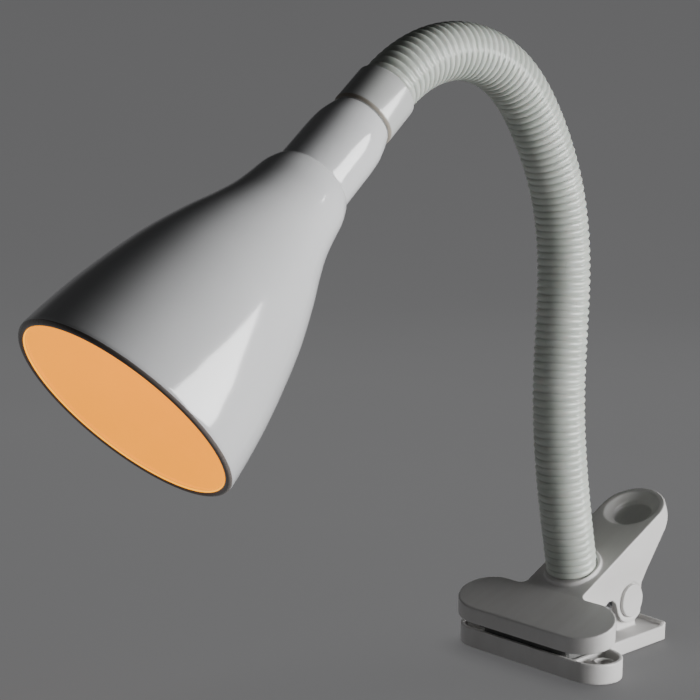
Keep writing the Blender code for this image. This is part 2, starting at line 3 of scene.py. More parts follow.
from math import cos, pi, radians, sin, tan

import bmesh
import bpy
from mathutils import Matrix, Vector


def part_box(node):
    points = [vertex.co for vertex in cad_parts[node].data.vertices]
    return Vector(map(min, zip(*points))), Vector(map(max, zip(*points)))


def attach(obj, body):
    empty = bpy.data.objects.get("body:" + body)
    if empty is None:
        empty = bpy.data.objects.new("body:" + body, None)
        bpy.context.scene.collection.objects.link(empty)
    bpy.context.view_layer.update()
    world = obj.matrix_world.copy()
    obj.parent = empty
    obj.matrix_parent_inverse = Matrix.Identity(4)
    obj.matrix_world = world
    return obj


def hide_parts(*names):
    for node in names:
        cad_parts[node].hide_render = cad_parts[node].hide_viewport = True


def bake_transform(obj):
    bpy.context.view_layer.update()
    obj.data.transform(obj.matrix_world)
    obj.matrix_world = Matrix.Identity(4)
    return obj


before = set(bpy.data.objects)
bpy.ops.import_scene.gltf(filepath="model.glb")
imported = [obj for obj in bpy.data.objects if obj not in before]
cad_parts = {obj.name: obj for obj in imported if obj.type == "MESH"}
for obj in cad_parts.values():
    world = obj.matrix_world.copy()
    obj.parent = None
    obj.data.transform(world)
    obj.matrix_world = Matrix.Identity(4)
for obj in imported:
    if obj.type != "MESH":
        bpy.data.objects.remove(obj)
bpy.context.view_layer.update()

MM = 0.001
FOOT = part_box("lower_jaw")[0][2]  # height of the clip's underside in the frame
X_AXIS, Z_AXIS = Vector((1, 0, 0)), Vector((0, 0, 1))

# Neck: the centre line that the CAD model uses
NECK_START = Vector((0, 27.9 * MM, 41.6 * MM + FOOT))
NECK_LENGTH = 331.0 * MM
# Degrees from upright towards -Y, at equal steps
NECK_LEAN = (14, 11.5, 7, -0.5, -1, 10.5, 27, 42.5, 74.5, 106, 132.5)
NECK_STEPS = 662
JOINTS = 7
SLEEVE_FOOT = -2.1 * MM
SLEEVE_RADIUS = 12.5 * MM
SLEEVE_INNER = 10.8 * MM
RIBS = 94
RIB_DEPTH = 1.05 * MM
RIB_POWER = 2.3  # over 2 makes the crests broad and the grooves narrow
RIB_STEPS = 8
SLEEVE_SIDES = 72
# Seam of the sleeve's mould: the ribs' step to each side in rib pitches, its half width as a sine, its height
SEAM_STEP, SEAM_WIDTH, SEAM_HEIGHT = 0.07, 0.06, 0.16 * MM

# Clip, heights above the foot
TRAY_HALF = (46.0 * MM, 13.75 * MM)
TRAY_Y = 4.3 * MM
TRAY_HEIGHT = 9.5 * MM
TRAY_WALL = 1.9 * MM
FLOOR = 2.2 * MM
POST_X, POST_RADIUS, POST_DROP = 38.6 * MM, 5.2 * MM, 1.2 * MM
WELL_RADIUS, WELL_FLOOR = 3.9 * MM, FLOOR + 1 * MM
PLATE_HALF, PLATE_REAR, PLATE_CROWN, PLATE_HEIGHT = 25.5 * MM, 76.0 * MM, 1.8 * MM, 7.5 * MM
PLATE_CORNER = 1.5 * MM
LIP_HEIGHT, LIP_TAPER = 9.0 * MM, 0.92
PIVOT = Vector((0, 54.6 * MM, 22.2 * MM))
EAR_INNER, EAR_OUTER, EAR_RADIUS = 11.3 * MM, 14.6 * MM, 8.0 * MM
WING_HALF = (45.2 * MM, 13.45 * MM)
WING_END = 17.6 * MM
WEB_HALF, WEB_WALL, SKIN = 17.3 * MM, 2.2 * MM, 2.4 * MM
FRONT_TOP, FOLD_TOP = 21.4 * MM, 31.5 * MM
FRONT_UNDER, FOLD_UNDER = 13.7 * MM, 20.3 * MM
HANDLE_RISE = radians(26.5)
HANDLE_END = 70.0 * MM  # from the fold to the centre of the round end, along the sloping face
LOBE_RADIUS, CAP_RADIUS = 11.4 * MM, 8.3 * MM
PIN_BORE, PIN_REACH = 2.8 * MM, 20 * MM
CAP_GROOVE, CAP_GROOVE_DEPTH = CAP_RADIUS + 0.9 * MM, 0.7 * MM
CAP_SIDES = 72
# (y, z) in millimetres on the web's lower edge: the notch in front of the pivot lobe, the handle behind it
NOTCH = ((34.1, 23.4), (36.1, 24.8), (39.3, 24.8), (41.9, 22.9))
HANDLE_EDGE = ((63, 29.4), (67.1, 35.3), (94.6, 70))
LOBE_START, LOBE_END = 197, 317.5  # degrees
HOLLOW_RISE = 4.0 * MM  # ceiling of the wings' hollow over their lower edge
BEHIND_JAW, DISH_FRONT = 100 * MM, 57 * MM
JAW_RIB_X = 27.6 * MM
SPRING_RADIUS, SPRING_WIRE, SPRING_TURNS, SPRING_HALF = 5.6 * MM, 0.8 * MM, 6, 7.2 * MM
LOWER_LEG = ((71 * MM, 8.9 * MM), (62 * MM, 12.0 * MM))  # (y, z) of the leg along the lower handle
UPPER_LEG = ((64 * MM, 43 * MM), (71 * MM, 50.2 * MM))
SPRING_START, SPRING_EXTRA = radians(-105), radians(150)  # first angle, and the turn past the whole turns
SPRING_STEPS, WIRE_SIDES = 28, 12
BOSS_RADIUS, BOSS_PROUD, BOSS_FLOOR, BOSS_SHIFT = 14.15 * MM, 2.1 * MM, 4.0 * MM, 0.9 * MM
THREAD_HOLE = 5.3 * MM
DISH_RADIUS, DISH_FLOOR, DISH_DEPTH, DISH_STEP = 14.2 * MM, 10.3 * MM, 5.0 * MM, -2.4 * MM
VOXEL, ROUNDING_PASSES = 0.45 * MM, 4  # grid of the moulded pieces' surface, and the smoothing of its edges
PAST = 60 * MM  # past the clip on either side
SHARP_EDGE = radians(40)

# Head, distances in millimetres along the shade's axis from the neck's end
HEAD_DIP = radians(42.65)
CUP_KEYS = ((20.6, 13.35), (22, 13.9), (26, 15.0), (30, 15.8), (36, 16.2), (45, 16.3), (54.6, 16.4))
BELL_KEYS = ((56.6, 17.4), (60, 18.9), (64, 20.1), (72, 21.5), (80, 23.4), (90, 27.0), (101, 31.4),
             (117, 36.8), (133, 40.8), (149.5, 44.1), (163, 46.0), (170, 46.75), (174.2, 47.1))
STEP_KEYS = ((55.3, 16.35), (55.7, 16.5), (56.0, 16.8))
SHADE_TOP, SHADE_MOUTH = 19.9, 176.6
SHADE_WALL, RIM_WALL = 1.9, 2.6
NIPPLE_HOLE = 5.3
SHADE_SIDES, COLLAR_SIDES, GLOBE_SIDES = 160, 96, 64
GLOBE_CENTRE, GLOBE_RADIUS = 91.0, 20.0


# --- Materials ---

class Nodes:
    """A material's node tree, with one short call for each kind of node."""

    def __init__(self, name):
        self.material = bpy.data.materials.new(name)
        self.material.use_nodes = True
        self.tree = self.material.node_tree
        self.shader = self.tree.nodes["Principled BSDF"]
        self.place = self.add("ShaderNodeTexCoord").outputs["Object"]

    def add(self, kind, **values):
        node = self.tree.nodes.new(kind)
        for key, value in values.items():
            setattr(node, key, value)
        return node

    def link(self, output, target):
        self.tree.links.new(output, target)

    def noise(self, scale, detail, roughness=0.5, stretch=None):
        node = self.add("ShaderNodeTexNoise")
        node.inputs["Scale"].default_value = scale
        node.inputs["Detail"].default_value = detail
        node.inputs["Roughness"].default_value = roughness
        source = self.place
        if stretch:
            mapping = self.add("ShaderNodeMapping")
            mapping.inputs["Scale"].default_value = stretch
            self.link(self.place, mapping.inputs["Vector"])
            source = mapping.outputs["Vector"]
        self.link(source, node.inputs["Vector"])
        return node.outputs["Fac"]

    def spread(self, value, low, high, start=0.3, end=0.7):
        """A 0 to 1 texture value spread between low and high."""
        node = self.add("ShaderNodeMapRange")
        bounds = {"From Min": start, "From Max": end, "To Min": low, "To Max": high}
        for key, number in bounds.items():
            node.inputs[key].default_value = number
        self.link(value, node.inputs["Value"])
        return node.outputs["Result"]

    def blend(self, factor, low, high):
        """A colour between two linear RGB colours."""
        node = self.add("ShaderNodeMix", data_type="RGBA")
        node.inputs["A"].default_value = (*low, 1)
        node.inputs["B"].default_value = (*high, 1)
        self.link(factor, node.inputs["Factor"])
        return node.outputs["Result"]

    def bump(self, height, distance, strength, under=None):
        node = self.add("ShaderNodeBump")
        node.inputs["Distance"].default_value = distance
        node.inputs["Strength"].default_value = strength
        self.link(height, node.inputs["Height"])
        if under:
            self.link(under, node.inputs["Normal"])
        return node.outputs["Normal"]

    def finish(self, colour=None, roughness=None, normal=None, **uniform):
        """Join the textures to the shader; uniform values are set on its own sockets."""
        for output, socket in ((colour, "Base Color"), (roughness, "Roughness"), (normal, "Normal")):
            if output is not None:
                self.link(output, self.shader.inputs[socket])
        for key, value in uniform.items():
            self.shader.inputs[key.replace("_", " ")].default_value = value
        return self.material


def moulded_plastic(name, low, high, roughness):
    """Satin injection moulding: fine spark grain, slanting flow bands, rubbed patches."""
    nodes = Nodes(name)
    mottle = nodes.noise(60, 3, 0.6, stretch=(1.0, 0.18, 0.6))
    fine = nodes.noise(2600, 2)
    rubbed = nodes.noise(160, 5, 0.65)
    colour = nodes.blend(nodes.spread(mottle, 0, 1), low, high)
    normal = nodes.bump(fine, 0.06 * MM, 0.35)
    normal = nodes.bump(rubbed, 0.04 * MM, 0.25, normal)
    shine = nodes.spread(rubbed, roughness - 0.05, roughness + 0.07)
    return nodes.finish(colour, shine, normal, IOR=1.48)


def gloss_enamel(name, low, high, roughness):
    """Gloss moulding with faint orange peel, and a clear skin over it."""
    nodes = Nodes(name)
    colour = nodes.blend(nodes.spread(nodes.noise(30, 3), 0, 1), low, high)
    normal = nodes.bump(nodes.noise(420, 2, 0.4), 0.03 * MM, 0.22)
    smudge = nodes.noise(90, 5, 0.7)
    shine = nodes.spread(smudge, roughness - 0.02, roughness + 0.06)
    return nodes.finish(colour, shine, normal, Coat_Weight=0.5, Coat_Roughness=0.06, IOR=1.5)


def sleeve_vinyl():
    """Satin vinyl, with painted shade darkening the grooves between its ribs."""
    nodes = Nodes("ribbed_vinyl")
    colour = nodes.blend(nodes.spread(nodes.noise(70, 4), 0, 1), (0.54, 0.58, 0.525), (0.64, 0.67, 0.62))
    # Painted shade: the colour is darkened where the surface is concave, in the grooves between the ribs.
    pointiness = nodes.add("ShaderNodeNewGeometry").outputs["Pointiness"]
    groove_painted_shade = nodes.add("ShaderNodeVectorMath", operation="SCALE")
    nodes.link(colour, groove_painted_shade.inputs["Vector"])
    nodes.link(nodes.spread(pointiness, 0.35, 1, 0.36, 0.50), groove_painted_shade.inputs["Scale"])
    streak = nodes.noise(320, 4, 0.6, stretch=(1, 1, 0.35))
    normal = nodes.bump(nodes.noise(1900, 3), 0.05 * MM, 0.3)
    normal = nodes.bump(streak, 0.06 * MM, 0.25, normal)
    shine = nodes.spread(streak, 0.27, 0.40)
    return nodes.finish(groove_painted_shade.outputs["Vector"], shine, normal, Subsurface_Weight=0.03,
                        Subsurface_Scale=1.0 * MM, IOR=1.5)


def pad_rubber():
    """Matt dark rubber."""
    nodes = Nodes("grip_rubber")
    colour = nodes.blend(nodes.spread(nodes.noise(200, 5), 0, 1), (0.10, 0.10, 0.10), (0.16, 0.16, 0.155))
    normal = nodes.bump(nodes.noise(3000, 3), 0.1 * MM, 0.5)
    return nodes.finish(colour, nodes.spread(nodes.noise(300, 4), 0.62, 0.85), normal)


def metal(name, low, high, roughness, stretch):
    """Drawn or turned metal, its fine lines set by stretch."""
    nodes = Nodes(name)
    lines = nodes.noise(900, 5, 0.7, stretch=stretch)
    colour = nodes.blend(nodes.spread(nodes.noise(120, 4), 0, 1), low, high)
    normal = nodes.bump(lines, 0.04 * MM, 0.3)
    shine = nodes.spread(lines, roughness - 0.08, roughness + 0.12)
    return nodes.finish(colour, shine, normal, Metallic=1.0)


def lining_painted_light(name, strength):
    """The shade's inside: a matt face with the lamp's light painted on, as an orange colour and a glow."""
    nodes = Nodes(name)
    patchy = nodes.noise(25, 3)
    # Painted light: the orange colour and warm glow stand in for the lamp's light on a white inside.
    colour = nodes.blend(nodes.spread(patchy, 0, 1), (0.50, 0.22, 0.02), (0.54, 0.25, 0.03))
    normal = nodes.bump(nodes.noise(1500, 2), 0.03 * MM, 0.2)
    brighter = [value * 1.06 for value in PAINTED_LAMPLIGHT]
    glow = nodes.blend(nodes.spread(patchy, 0, 1), PAINTED_LAMPLIGHT, brighter)
    nodes.link(glow, nodes.shader.inputs["Emission Color"])
    return nodes.finish(colour, nodes.spread(patchy, 0.5, 0.6), normal, Emission_Strength=strength,
                        Specular_IOR_Level=0.1)


def lit_opal():
    """Opal glass lit from inside."""
    nodes = Nodes("lit_opal")
    cloud = nodes.spread(nodes.noise(60, 3), 0, 1)
    colour = nodes.blend(cloud, (0.90, 0.80, 0.62), (0.95, 0.86, 0.70))
    glow = nodes.blend(cloud, (1.0, 0.50, 0.06), (1.0, 0.56, 0.10))
    nodes.link(glow, nodes.shader.inputs["Emission Color"])
    normal = nodes.bump(nodes.noise(900, 2), 0.02 * MM, 0.2)
    return nodes.finish(colour, None, normal, Roughness=0.25, Emission_Strength=2.4)


# Painted light: the warm glow of the lamp on the shade's inside.
PAINTED_LAMPLIGHT = (1.15, 0.46, 0.0)
CLIP = moulded_plastic("clip_moulding", (0.62, 0.605, 0.59), (0.72, 0.71, 0.70), 0.42)
HOLDER = moulded_plastic("holder_moulding", (0.55, 0.52, 0.45), (0.64, 0.61, 0.54), 0.5)
LEAD = moulded_plastic("lead_vinyl", (0.66, 0.66, 0.64), (0.74, 0.74, 0.72), 0.45)
ENAMEL = gloss_enamel("shade_gloss", (0.77, 0.775, 0.785), (0.81, 0.815, 0.825), 0.12)
COLLAR = gloss_enamel("collar_gloss", (0.61, 0.62, 0.61), (0.67, 0.68, 0.67), 0.20)
# Painted shade: the collar's lower chamfer, darker than the collar's gloss white.
COLLAR_EDGE = moulded_plastic("collar_edge_painted_shade", (0.36, 0.32, 0.27), (0.44, 0.40, 0.34), 0.45)
# Painted shade: the shade's rim, a dark copy of its white gloss moulding.
RIM_PAINTED_SHADE = gloss_enamel("rim_painted_shade", (0.20, 0.17, 0.155), (0.26, 0.225, 0.205), 0.25)
# The shade's inside, with painted lamplight.
LINING = lining_painted_light("lining_painted_light", 1.0)
# The rim's inner lip: a brighter painted highlight where the rounded lip catches the light.
LIP = lining_painted_light("lip_painted_highlight", 1.7)
OPAL = lit_opal()
VINYL = sleeve_vinyl()
RUBBER = pad_rubber()
STEEL = metal("zinc_steel", (0.42, 0.43, 0.45), (0.55, 0.56, 0.58), 0.34, (1, 1, 4))
BRASS = metal("turned_brass", (0.62, 0.44, 0.18), (0.78, 0.58, 0.28), 0.3, (3, 1, 1))


# --- Mesh helpers ---

def make_object(name, mesh, *materials):
    obj = bpy.data.objects.new(name, mesh)
    bpy.context.scene.collection.objects.link(obj)
    for material in materials:
        mesh.materials.append(material)
    return obj


def loft(name, rings, materials, cyclic=False, pick=None):
    """Rings of points joined in order. Cyclic joins the last to the first, otherwise both ends are capped.

    pick gives the material number of the band after ring i.
    """
    bm = bmesh.new()
    loops = [[bm.verts.new(point) for point in ring] for ring in rings]
    count = len(rings[0])
    bands = zip(loops, loops[1:] + loops[:1]) if cyclic else zip(loops, loops[1:])
    for i, (start, end) in enumerate(bands):
        for j in range(count):
            k = (j + 1) % count
            face = bm.faces.new((start[j], start[k], end[k], end[j]))
            face.material_index = pick(i) if pick else 0
    if not cyclic:
        bm.faces.new(loops[0])
        bm.faces.new(loops[-1])
    return close_mesh(name, bm, materials)


def close_mesh(name, bm, materials):
    """Turn a bmesh into an object, its faces outward and smooth up to sharp edges."""
    bmesh.ops.recalc_face_normals(bm, faces=bm.faces)
    mesh = bpy.data.meshes.new(name)
    bm.to_mesh(mesh)
    bm.free()
    mesh.shade_smooth()
    mesh.set_sharp_from_angle(angle=SHARP_EDGE)
    return make_object(name, mesh, *materials)


def round_angles(sides):
    return [2 * pi * i / sides for i in range(sides)]


def circle_ring(point, direction, radius, sides):
    """A ring of points round a direction that lies in the lamp's plane, from +X."""
    across = X_AXIS.cross(direction)
    return [point + radius * (cos(angle) * X_AXIS + sin(angle) * across) for angle in round_angles(sides)]


def turned(name, profile, point, direction, sides, materials, cyclic=True, pick=None):
    """A (distance along, radius) profile in millimetres turned about an axis in the lamp's plane."""
    rings = [circle_ring(point + direction * along * MM, direction, radius * MM, sides)
             for along, radius in profile]
    return loft(name, rings, materials, cyclic, pick)


def arc(centre, radii, start, end, steps):
    """Points of an ellipse from one angle to another, in degrees."""
    angles = [radians(start + (end - start) * i / steps) for i in range(steps + 1)]
    return [(centre[0] + radii[0] * cos(angle), centre[1] + radii[1] * sin(angle)) for angle in angles]


def smooth_keys(keys, steps):
    """Catmull-Rom points through the keys."""
    keys = [Vector(key) for key in keys]
    ends = [2 * keys[0] - keys[1]] + keys + [2 * keys[-1] - keys[-2]]
    points = []
    for before, start, end, after in zip(ends, ends[1:], ends[2:], ends[3:]):
        for i in range(steps):
            t = i / steps
            points.append(0.5 * (2 * start + (end - before) * t
                                 + (2 * before - 5 * start + 4 * end - after) * t ** 2
                                 + (3 * start - before - 3 * end + after) * t ** 3))
    return [tuple(point) for point in points] + [tuple(keys[-1])]


def prism(outline, axis, low, high):
    """A closed outline extruded along X (points are y, z) or Z (points are x, y), as a helper object."""
    bm = bmesh.new()
    if axis == "X":
        points = [Vector((low, a, b)) for a, b in outline]
        travel = Vector((high - low, 0, 0))
    else:
        points = [Vector((a, b, low)) for a, b in outline]
        travel = Vector((0, 0, high - low))
    face = bm.faces.new([bm.verts.new(point) for point in points])
    swept = bmesh.ops.extrude_face_region(bm, geom=[face])
    moved = [item for item in swept["geom"] if isinstance(item, bmesh.types.BMVert)]
    bmesh.ops.translate(bm, verts=moved, vec=travel)
    return close_mesh("helper", bm, ())


def rod(radius, low, high, point, direction, sides=64):
    """A round bar along a direction, from low to high as measured from a point, as a helper object."""
    bm = bmesh.new()
    turn = direction.to_track_quat("Z", "Y").to_matrix().to_4x4()
    matrix = Matrix.Translation(point + direction * (low + high) / 2) @ turn
    bmesh.ops.create_cone(bm, cap_ends=True, segments=sides, radius1=radius, radius2=radius,
                          depth=high - low, matrix=matrix)
    return close_mesh("helper", bm, ())


def combine(obj, operation, helper):
    """Apply a Boolean with a helper, which is then removed."""
    modifier = obj.modifiers.new(operation, "BOOLEAN")
    modifier.operation = operation
    modifier.solver = "EXACT"
    modifier.object = helper
    apply_modifiers(obj)
    bpy.data.objects.remove(helper)


def apply_modifiers(obj):
    graph = bpy.context.evaluated_depsgraph_get()
    mesh = bpy.data.meshes.new_from_object(obj.evaluated_get(graph))
    obj.modifiers.clear()
    old = obj.data
    obj.data = mesh
    bpy.data.meshes.remove(old)


def mould(obj, name):
    """Turn a sharp Boolean shape into a moulding with small even rounds on every edge."""
    remesh = obj.modifiers.new("surface", "REMESH")
    remesh.mode = "VOXEL"
    remesh.voxel_size = VOXEL
    remesh.use_smooth_shade = True
    smooth = obj.modifiers.new("rounds", "SMOOTH")
    smooth.factor = 0.5
    smooth.iterations = ROUNDING_PASSES
    apply_modifiers(obj)
    obj.data.transform(Matrix.Translation((0, 0, FOOT)))
    obj.data.shade_smooth()
    obj.data.materials.clear()
    obj.data.materials.append(CLIP)
    obj.name = name
    return obj


# --- The neck's centre line ---

def lean_at(fraction):
    """Lean of the neck at a fraction of its length: a smooth curve through NECK_LEAN."""
    last = len(NECK_LEAN) - 1
    spot = min(max(fraction, 0), 1) * last
    k = min(int(spot), last - 1)
    t = spot - k
    start, end = NECK_LEAN[k], NECK_LEAN[k + 1]
    slope_in = (end - NECK_LEAN[k - 1]) / 2 if k else end - start
    slope_out = (NECK_LEAN[k + 2] - start) / 2 if k + 2 <= last else end - start
    return radians(start * (1 - 3 * t ** 2 + 2 * t ** 3) + end * (3 * t ** 2 - 2 * t ** 3)
                   + slope_in * (t - 2 * t ** 2 + t ** 3) + slope_out * (t ** 3 - t ** 2))


def neck_table():
    """Points of the neck's centre line at equal steps."""
    step = NECK_LENGTH / NECK_STEPS
    points = [NECK_START.copy()]
    for i in range(NECK_STEPS):
        lean = lean_at((i + 0.5) / NECK_STEPS)
        points.append(points[-1] + step * Vector((0, -sin(lean), cos(lean))))
    return points


NECK_POINTS = neck_table()


def neck_direction(s):
    lean = lean_at(s / NECK_LENGTH)
    return Vector((0, -sin(lean), cos(lean)))


def neck_point(s):
    if s <= 0:
        return NECK_START + neck_direction(0) * s
    if s >= NECK_LENGTH:
        return NECK_POINTS[-1] + neck_direction(NECK_LENGTH) * (s - NECK_LENGTH)
    spot = s / NECK_LENGTH * NECK_STEPS
    i = min(int(spot), NECK_STEPS - 1)
    return NECK_POINTS[i].lerp(NECK_POINTS[i + 1], spot - i)


# --- Sleeve ---


def rib_station(rib):
    return SLEEVE_FOOT + (NECK_LENGTH - SLEEVE_FOOT) * rib / RIBS


def rib_height(phase):
    """Height of a rib over the groove at a phase from 0 to 1: a broad round crest and a narrow groove."""
    return RIB_DEPTH * (1 - abs(2 * (phase % 1) - 1) ** RIB_POWER)


def sleeve_ring(s, phase, outer):
    """One ring of the sleeve. The mould's two halves meet at +X and -X, their ribs a little out of step."""
    point, along = neck_point(s), neck_direction(s)
    across = X_AXIS.cross(along)
    ring = []
    for angle in round_angles(SLEEVE_SIDES):
        radius = SLEEVE_INNER
        if outer:
            shift = SEAM_STEP if sin(angle) > 0 else -SEAM_STEP
            radius = SLEEVE_RADIUS - RIB_DEPTH + rib_height(phase + shift)
            near_seam = max(0, 1 - abs(sin(angle)) / SEAM_WIDTH)
            radius += SEAM_HEIGHT * near_seam
        ring.append(point + radius * (cos(angle) * X_AXIS + sin(angle) * across))
    return ring


def sleeve_piece(k):
    """The sleeve across joint k, from the middle of one body to the middle of the next."""
    first = 0 if k == 1 else round(RIBS * (k - 1) / JOINTS)
    last = RIBS if k == JOINTS else round(RIBS * k / JOINTS)
    steps = (last - first) * RIB_STEPS
    stations = [(rib_station(first + i / RIB_STEPS), i / RIB_STEPS) for i in range(steps + 1)]
    rings = [sleeve_ring(s, phase, True) for s, phase in stations]
    rings += [sleeve_ring(s, 0, False) for s, phase in stations[::-RIB_STEPS // 2]]
    piece = loft(f"sleeve_ribs_{k}", rings, (VINYL,), cyclic=True)
    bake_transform(piece)
    covered = [f"sleeve_fold_{k}", f"sleeve_{k + 1}"] + (["sleeve_1"] if k == 1 else [])
    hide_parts(*covered)


# --- Clip ---

def stadium(half_width, half_depth, centre_y):
    straight = half_width - half_depth
    right = arc((straight, centre_y), (half_depth, half_depth), -90, 90, 40)
    left = arc((-straight, centre_y), (half_depth, half_depth), 90, 270, 40)
    return right + left


def lower_jaw():
    """Open tray with two cross ribs and two screw posts, the handle plate behind it and the pivot's ears."""
    jaw = prism(stadium(*TRAY_HALF, TRAY_Y), "Z", 0, TRAY_HEIGHT)
    inside = stadium(TRAY_HALF[0] - TRAY_WALL, TRAY_HALF[1] - TRAY_WALL, TRAY_Y)
    combine(jaw, "DIFFERENCE", prism(inside, "Z", FLOOR, 2 * TRAY_HEIGHT))
    front, rear = TRAY_Y - TRAY_HALF[1] + TRAY_WALL / 2, TRAY_Y + TRAY_HALF[1] - TRAY_WALL / 2
    for side in (-1, 1):
        low, high = sorted((side * JAW_RIB_X, side * (JAW_RIB_X + WEB_WALL)))
        rib = [(low, front), (high, front), (high, rear), (low, rear)]
        combine(jaw, "UNION", prism(rib, "Z", FLOOR / 2, TRAY_HEIGHT - 1 * MM))
        place = Vector((side * POST_X, TRAY_Y, 0))
        combine(jaw, "UNION", rod(POST_RADIUS, FLOOR / 2, TRAY_HEIGHT - POST_DROP, place, Z_AXIS))
        combine(jaw, "DIFFERENCE", rod(WELL_RADIUS, WELL_FLOOR, TRAY_HEIGHT, place, Z_AXIS))
    edge = plate_rear()
    plate = [(-PLATE_HALF, rear), (PLATE_HALF, rear)] + edge
    combine(jaw, "UNION", prism(plate, "Z", 0, PLATE_HEIGHT))
    lip_inner = [(x * LIP_TAPER, y - TRAY_WALL) for x, y in reversed(edge)]
    combine(jaw, "UNION", prism(edge + lip_inner, "Z", 1 * MM, LIP_HEIGHT))
    y, z = PIVOT.y, PIVOT.z
    ear = [(y - EAR_RADIUS, 4 * MM), (y + EAR_RADIUS, 4 * MM)]
    ear += arc((y, z), (EAR_RADIUS, EAR_RADIUS), 0, 180, 32)
    for side in (-1, 1):
        low, high = sorted((side * EAR_INNER, side * EAR_OUTER))
        combine(jaw, "UNION", prism(ear, "X", low, high))
    combine(jaw, "DIFFERENCE", rod(PIN_BORE, -PIN_REACH, PIN_REACH, PIVOT, X_AXIS))
    piece = mould(jaw, "lower_jaw_moulding")
    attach(piece, "clip_lower")
    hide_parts("lower_jaw")


def plate_rear():
    """Rear edge of the lower handle from +X to -X: small corner rounds and a shallow crown between them."""
    corner_x, corner_y = PLATE_HALF - PLATE_CORNER, PLATE_REAR - PLATE_CROWN - PLATE_CORNER
    right = arc((corner_x, corner_y), (PLATE_CORNER, PLATE_CORNER), 0, 90, 8)
    crown = []
    for i in range(1, 24):
        x = corner_x * (1 - i / 24)
        crown.append((x, PLATE_REAR - PLATE_CROWN * (x / corner_x) ** 2))
    left = [(-x, y) for x, y in reversed(right + crown)]
    return right + crown + [(0, PLATE_REAR)] + left


def top_height(y, drop=0):
    """Height of the upper jaw's top face, or of a face at a depth of drop below it."""
    if y < WING_HALF[1]:
        slope = (FOLD_TOP - FRONT_TOP) / (2 * WING_HALF[1])
        return FRONT_TOP + slope * (y + WING_HALF[1]) - drop
    return FOLD_TOP + tan(HANDLE_RISE) * (y - WING_HALF[1]) - drop / cos(HANDLE_RISE)


def under_height(y):
    """Height of the wings' lower edge."""
    return FRONT_UNDER + (FOLD_UNDER - FRONT_UNDER) / (2 * WING_HALF[1]) * (y + WING_HALF[1])


def upper_plan(inset):
    """The T-shaped outline of the wings and the handle, moved in all round."""
    half_x, half_y, web = WING_HALF[0] - inset, WING_HALF[1] - inset, WEB_HALF - inset
    end_x = WING_HALF[0] - WING_END
    fillet = 3 * MM + inset
    right = arc((end_x, 0), (half_x - end_x, half_y), -90, 90, 48)
    right += arc((web + fillet, half_y + fillet), (fillet, fillet), 270, 180, 10)
    end_y = WING_HALF[1] + HANDLE_END * cos(HANDLE_RISE)
    handle = arc((0, end_y), (web, web * cos(HANDLE_RISE)), 0, 180, 64)
    left = [(-x, y) for x, y in reversed(right)]
    return right + handle + left


def upper_block(inset, low, high):
    """The T-shaped plan stood up between two heights, its round end square to the handle's sloping face."""
    helper = prism(upper_plan(inset), "Z", low, high)
    for vert in helper.data.vertices:
        if vert.co.y > PIVOT.y:
            vert.co.y += (top_height(vert.co.y) - vert.co.z) * tan(HANDLE_RISE)
    return helper


